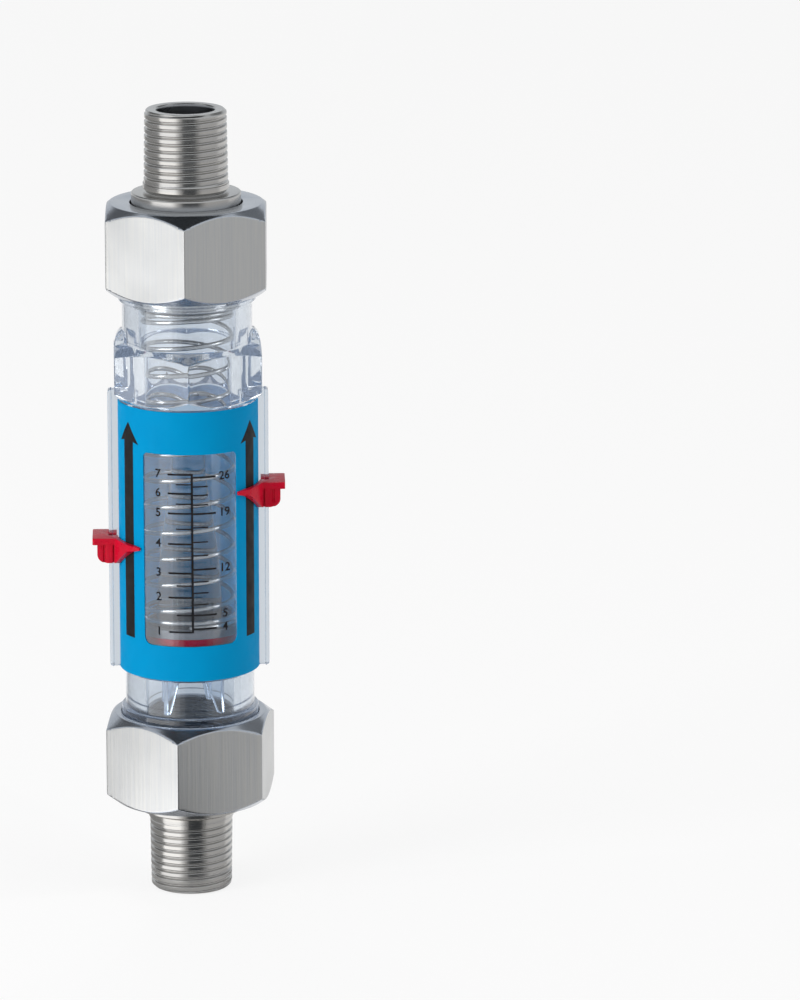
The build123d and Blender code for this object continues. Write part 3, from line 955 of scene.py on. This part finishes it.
def flow_arrows():
    radius = label_outer_r + arrow_lift
    parts = []
    for side in (-1, 1):
        centre = side * arrow_angle + window_turn
        head = []
        for a in np.linspace(-arrow_head_half, arrow_head_half, 21):
            share = abs(a) / arrow_head_half
            bottom = arrow_barb + (arrow_base - arrow_barb) * (1 - share) * 1.6
            top = arrow_tip + (arrow_barb - arrow_tip) * share
            head.append((centre + a, min(bottom, top), top))
        parts.append(patch(head, radius))
        shaft = np.linspace(-arrow_shaft_half, arrow_shaft_half, 8)
        parts.append(patch([(centre + a, arrow_bottom, arrow_base + 0.5) for a in shaft], radius + 0.002))
    printed("flow_arrows", parts)


printed_scale()
flow_arrows()

# Metering cone with its ring and guide blades
cone_nose = 56.5
cone_taper = ((8.6, 66.0), (8.2, 77.0), (7.3, 89.0), (5.9, 99.0), (4.3, 108.5), (3.8, 118.8))
cone_top = high("metering_cone").z
cone_tip_share = 0.88       # of a quarter turn, after which the tip is flat
ring_top = 62.4
ring_width = 1.3
ring_gap = 0.1
blade_foot = low("metering_cone").z
blade_turn = 53
blade_half = 0.65
blade_reach = 9.45
blade_top_r = bore_r - 0.8      # where the blade joins the cone's ring
blade_inner = 4.0
blade_inner_foot = 58.2
blade_edge = 0.18


def cone_outline():
    root_r, root = cone_taper[0]
    tip_r, tip = cone_taper[-1]
    quarter = pi / 2
    outline = [(0.02, cone_nose), (0.8, cone_nose)]
    for t in np.linspace(0.12, 1, 9)[:-1]:
        outline.append((root_r * sin(t * quarter), root - (root - cone_nose) * cos(t * quarter)))
    for (r0, z0), (r1, z1) in zip(cone_taper, cone_taper[1:]):
        outline += [(r0 + (r1 - r0) * k / 6, z0 + (z1 - z0) * k / 6) for k in range(6)]
    for t in np.linspace(0, cone_tip_share, 7):
        rise = sin(t * quarter) / sin(cone_tip_share * quarter)
        outline.append((tip_r * cos(t * quarter), tip + (cone_top - tip) * rise))
    return outline + [(0.02, cone_top)]


def metering_cone():
    cone = lathe("metering_cone_moulding", cone_outline(), 128)
    close_ends(cone)
    ring_r = bore_r - ring_gap
    combine(cone, lathe("cone_ring", [
        (ring_r - ring_width, cone_shelf, 0.2), (ring_r, cone_shelf, 0.2), (ring_r, ring_top, 0.3),
        (ring_r - ring_width, ring_top, 0.3),
    ], 160), "UNION")
    for k in range(4):
        combine(cone, blade(radians(blade_turn + 90 * k - 90)), "UNION")
    face_outwards(cone, 30)
    paint(cone, cone_clear, blade_clear)
    for face in cone.data.polygons:
        if face.center.z < ring_top * MM:
            face.material_index = 1
    finish_piece(cone, "meter", ["metering_cone"])


# Caps the small holes that a lathe leaves at the axis
def close_ends(obj):
    bm = bmesh.new()
    bm.from_mesh(obj.data)
    narrow = [v for v in bm.verts if v.co.xy.length < 0.1 * MM]
    inner = [f for f in bm.faces if all(v in narrow for v in f.verts)]
    bmesh.ops.delete(bm, geom=inner, context="FACES_ONLY")
    loose = [e for e in bm.edges if e.is_boundary]
    bmesh.ops.holes_fill(bm, edges=loose, sides=0)
    bmesh.ops.recalc_face_normals(bm, faces=bm.faces)
    bm.to_mesh(obj.data)
    bm.free()


# Upright guide blade under the cone, with softened edges
def blade(bearing):
    side = [(blade_inner, ring_top - 0.2), (blade_top_r, ring_top - 0.2), (blade_top_r, cone_shelf + 0.2),
            (blade_reach, cone_shelf), (blade_reach, blade_foot + 0.3),
            (blade_reach - 0.1, blade_foot + 0.05), (blade_reach - 0.3, blade_foot),
            (blade_reach - 1.0, blade_foot + 0.1), (blade_inner, blade_inner_foot)]
    along, across = cos(bearing), sin(bearing)
    points = []
    for y, inset in ((-blade_half, blade_edge), (-blade_half + blade_edge, 0), (blade_half - blade_edge, 0),
                     (blade_half, blade_edge)):
        for r, z in side:
            edge = 0 if r < blade_inner + 0.5 else inset
            x = r - edge
            lift = edge if z < blade_foot + 0.2 else 0
            points.append((x * along - y * across, x * across + y * along, z + lift))
    return stacked("blade", points, len(side))


metering_cone()

# Piston, its red band, the spring seat and the split ring
orifice_r = 9.0
band_groove_bottom = piston_foot + 4.1
band_groove_top = piston_foot + 5.9
band_groove_depth = 0.7
band_bottom = low("indicator_ring").z
band_top = high("indicator_ring").z
band_depth = 0.6
piston_top_width = 1.6
piston_foot_width = 1.2
seat_r = high("spring_seat").x
seat_width = 3.5
piston = lathe("piston_turned", [
    (piston_r, piston_foot, 0.25), (piston_r, band_groove_bottom),
    (piston_r - band_groove_depth, band_groove_bottom), (piston_r - band_groove_depth, band_groove_top),
    (piston_r, band_groove_top), (piston_r, piston_top, 0.2),
    (piston_r - piston_top_width, piston_top, 0.2), (orifice_r, band_groove_bottom),
    (orifice_r, band_groove_bottom - 0.5), (piston_r - piston_foot_width, piston_foot, 0.15),
])
finish_piece(piston, "piston_assembly", ["piston"], [piston_plastic])
band = lathe("red_band", [
    (piston_r - band_depth, band_bottom, 0.08), (piston_r, band_bottom, 0.12), (piston_r, band_top, 0.12),
    (piston_r - band_depth, band_top, 0.08),
])
finish_piece(band, "piston_assembly", ["indicator_ring"], [band_red])
washer = lathe("spring_seat_washer", [
    (seat_r - seat_width, seat_bottom, 0.2), (seat_r, seat_bottom, 0.2), (seat_r, seat_top, 0.2),
    (seat_r - seat_width, seat_top, 0.2),
])
finish_piece(washer, "meter", ["spring_seat"], [spring_steel])
paint(nodes["retaining_ring"], spring_steel)


# Return spring: closed coils at both ends and an even pitch between, wound from the front
wire = 1.2
spring_r = 11.15
working_turns = 11.4
lower_closed_turns = 1.6
upper_closed_turns = 1.3
total_turns = working_turns + lower_closed_turns + upper_closed_turns
closed_pitch = wire * 1.04
steps_per_turn = 64
wire_sides = 14


# Rise of the wire after a number of turns
def coil_height(turns_done):
    closed = lower_closed_turns + upper_closed_turns
    rise = spring_top - spring_bottom - wire - closed * closed_pitch
    opened = min(max(turns_done - lower_closed_turns, 0), working_turns)
    return (turns_done - opened) * closed_pitch + opened * rise / working_turns


# Middle of the wire, step by step from the lower end
def spring_path():
    count = round(total_turns * steps_per_turn)
    path = []
    for k in range(count + 1):
        done = total_turns * k / count
        bearing = radians(360 * done - 90)
        path.append((spring_r * cos(bearing), spring_r * sin(bearing),
                     spring_bottom + wire / 2 + coil_height(done)))
    return np.array(path)


def return_spring():
    path = spring_path()
    along = np.gradient(path, axis=0)
    along /= np.linalg.norm(along, axis=1)[:, None]
    out = path * [1, 1, 0]
    out /= np.linalg.norm(out, axis=1)[:, None]
    up = np.cross(out, along)
    points = []
    for centre, o, u in zip(path, out, up):
        for k in range(wire_sides):
            a = 2 * pi * k / wire_sides
            points.append(centre + (o * cos(a) + u * sin(a)) * wire / 2)
    coil = stacked("return_spring_coil", points, wire_sides, 50)
    finish_piece(coil, "meter", ["return_spring"], [spring_steel])
    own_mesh(coil)


return_spring()


# Pointers, from the CAD shapes with their edges rounded
pointer_edge = 0.22


def pointer(node, name):
    copy = new_object(name, nodes[node].data.copy())
    bm = bmesh.new()
    bm.from_mesh(copy.data)
    bmesh.ops.remove_doubles(bm, verts=bm.verts, dist=CAD_WELD)
    bmesh.ops.dissolve_limit(bm, angle_limit=radians(2), verts=bm.verts, edges=bm.edges)
    bm.to_mesh(copy.data)
    bm.free()
    bevel = copy.modifiers.new("soft edges", "BEVEL")
    bevel.width = pointer_edge * MM
    bevel.segments = 3
    bevel.limit_method = "ANGLE"
    bevel.angle_limit = radians(35)
    apply_modifiers(copy)
    face_outwards(copy, 30)
    finish_piece(copy, node, [node], [red_plastic])


pointer("min_pointer", "min_pointer_clip")
pointer("max_pointer", "max_pointer_clip")

# O-rings, a little slimmer than the CAD part's eight-sided ones
seal_fit = 0.99


def seal(node):
    middle = (low(node).z + high(node).z) / 2
    section = (high(node).z - low(node).z) / 2 * seal_fit
    section_r = high(node).x - section
    rings = [ring(section_r + section * cos(a), middle + section * sin(a), turns(120)) for a in turns(24)]
    finish_piece(skin(node + "_ring", rings), "meter", [node], [rubber])


seal("inlet_seal")
seal("outlet_seal")


# Stage: pale floor, soft light and the camera
floor_half = 8.0
floor_drop = 0.0002
floor_tone = (0.85, 0.85, 0.85)
floor_seen = (1, 1, 1)
floor_seen_through = (0.93, 0.97, 1.0)
card_lift = 0.0004
card_near = 0.02
card_far = 2.5
card_columns = 24
sky_bottom = 1.26
sky_top = 3.4
sky_tint = (0.92, 0.96, 1)
ceiling_half = 0.6
ceiling_height = 1.5
ceiling_tint = (0.9, 0.95, 1)
front_tint = (0.85, 0.93, 1)
white = (1, 1, 1)
meter_middle = (0, 0, 0.1)
camera_place = (0, -1.5199, 0.4808)
camera_aim = (0.05356, 0, 0.10092)
camera_lens = 222.55
sensor_height = 36


def square(half, z):
    return [(-half, -half, z), (half, -half, z), (half, half, z), (-half, half, z)]


# Floor that the camera sees as nearly white, and as a little darker through the clear pieces
def floor():
    mesh = bpy.data.meshes.new("floor")
    mesh.from_pydata(square(floor_half, 0), [], [[0, 1, 2, 3]])
    plane = new_object("floor", mesh)
    plane.location.z = -floor_drop
    material, tree, shader = new_material("floor")
    shader.inputs["Base Color"].default_value = (*floor_tone, 1)
    shader.inputs["Roughness"].default_value = 0.9
    path = tree.nodes.new("ShaderNodeLightPath")
    seen = shader.outputs[0]
    for ray, colour, strength, share in (("Is Camera Ray", floor_seen, 1.05, 0.8),
                                         ("Is Transmission Ray", floor_seen_through, 0.78, 1.0)):
        amount = arithmetic(tree, "MULTIPLY", path.outputs[ray], share)
        seen = mixed(tree, amount, seen, emission(tree, colour, strength))
    link(tree, seen, tree.nodes["Material Output"].inputs["Surface"])
    mesh.materials.append(material)


def lamp(name, place, width, height, power):
    data = bpy.data.lights.new(name, "AREA")
    data.shape = "RECTANGLE"
    data.size = width
    data.size_y = height
    data.energy = power
    obj = new_object(name, data)
    obj.location = place
    obj.rotation_euler = (Vector(meter_middle) - Vector(place)).to_track_quat("-Z", "Y").to_euler()
    obj.visible_glossy = False


# Panel that only reflections see
def card(name, points, faces, level, colour):
    mesh = bpy.data.meshes.new(name)
    mesh.from_pydata(points, [], faces)
    plane = new_object(name, mesh)
    material, tree, shader = new_material(name)
    link(tree, emission(tree, colour, level), tree.nodes["Material Output"].inputs["Surface"])
    mesh.materials.append(material)
    plane.visible_camera = False
    plane.visible_diffuse = False
    plane.visible_transmission = False
    plane.visible_shadow = False


# Card between two bearings from the front and two edges, each a radius and a height
def wedge(name, bearings, edges, level, colour):
    angles = [radians(a - 90) for a in np.linspace(*bearings, card_columns)]
    points = [(r * cos(a), r * sin(a), z) for r, z in edges for a in angles]
    faces = [[k, k + 1, k + 1 + card_columns, k + card_columns] for k in range(card_columns - 1)]
    card(name, points, faces, level, colour)


def floor_card(name, start, end, level, colour=white):
    wedge(name, (start, end), ((card_near, card_lift), (card_far, card_lift)), level, colour)


def sky_card(name, start, end, level):
    wedge(name, (start, end), ((card_far, sky_bottom), (card_far, sky_top)), level, sky_tint)


def world():
    sky = bpy.data.worlds.new("sky")
    scene.world = sky
    sky.use_nodes = True
    tree = sky.node_tree
    path = tree.nodes.new("ShaderNodeLightPath")
    around = tree.nodes["Background"]
    around.inputs["Color"].default_value = (*white, 1)
    around.inputs["Strength"].default_value = 0.45
    seen = around.outputs[0]
    for ray, strength in (("Is Glossy Ray", 0.72), ("Is Transmission Ray", 0.7)):
        part = tree.nodes.new("ShaderNodeBackground")
        part.inputs["Color"].default_value = (*sky_tint, 1)
        part.inputs["Strength"].default_value = strength
        seen = mixed(tree, path.outputs[ray], seen, part.outputs[0])
    link(tree, seen, tree.nodes["World Output"].inputs["Surface"])


def camera():
    data = bpy.data.cameras.new("camera")
    obj = new_object("camera", data)
    obj.location = camera_place
    aim = Vector(camera_aim) - Vector(camera_place)
    obj.rotation_euler = aim.to_track_quat("-Z", "Y").to_euler()
    data.sensor_fit = "VERTICAL"
    data.sensor_height = sensor_height
    data.lens = camera_lens
    data.clip_start = 0.05
    scene.camera = obj


floor()
world()
card("ceiling", square(ceiling_half, ceiling_height), [[0, 1, 2, 3]], 0.035, ceiling_tint)
sky_card("left_sky_card", -170, -112, level=0.13)
sky_card("right_sky_card", 110, 170, level=0.22)
floor_card("left_card", -78, -26, level=1.7)
floor_card("left_edge_card", -26, -18, level=1.0)
floor_card("left_fade_card", -18, -9, level=0.45)
floor_card("left_back_card", -150, -76, level=0.35)
floor_card("front_card", -9, 28, level=0.06, colour=front_tint)
floor_card("right_fade_card", 28, 38, level=0.3)
floor_card("right_card", 38, 100, level=0.57)
floor_card("back_card", 100, 210, level=0.9)
lamp("key", (-1.1, -0.75, 0.45), width=0.7, height=1.1, power=13.5)
lamp("fill", (1.2, -0.5, 0.5), width=0.5, height=0.9, power=4)
camera()
scene.view_settings.view_transform = "Standard"
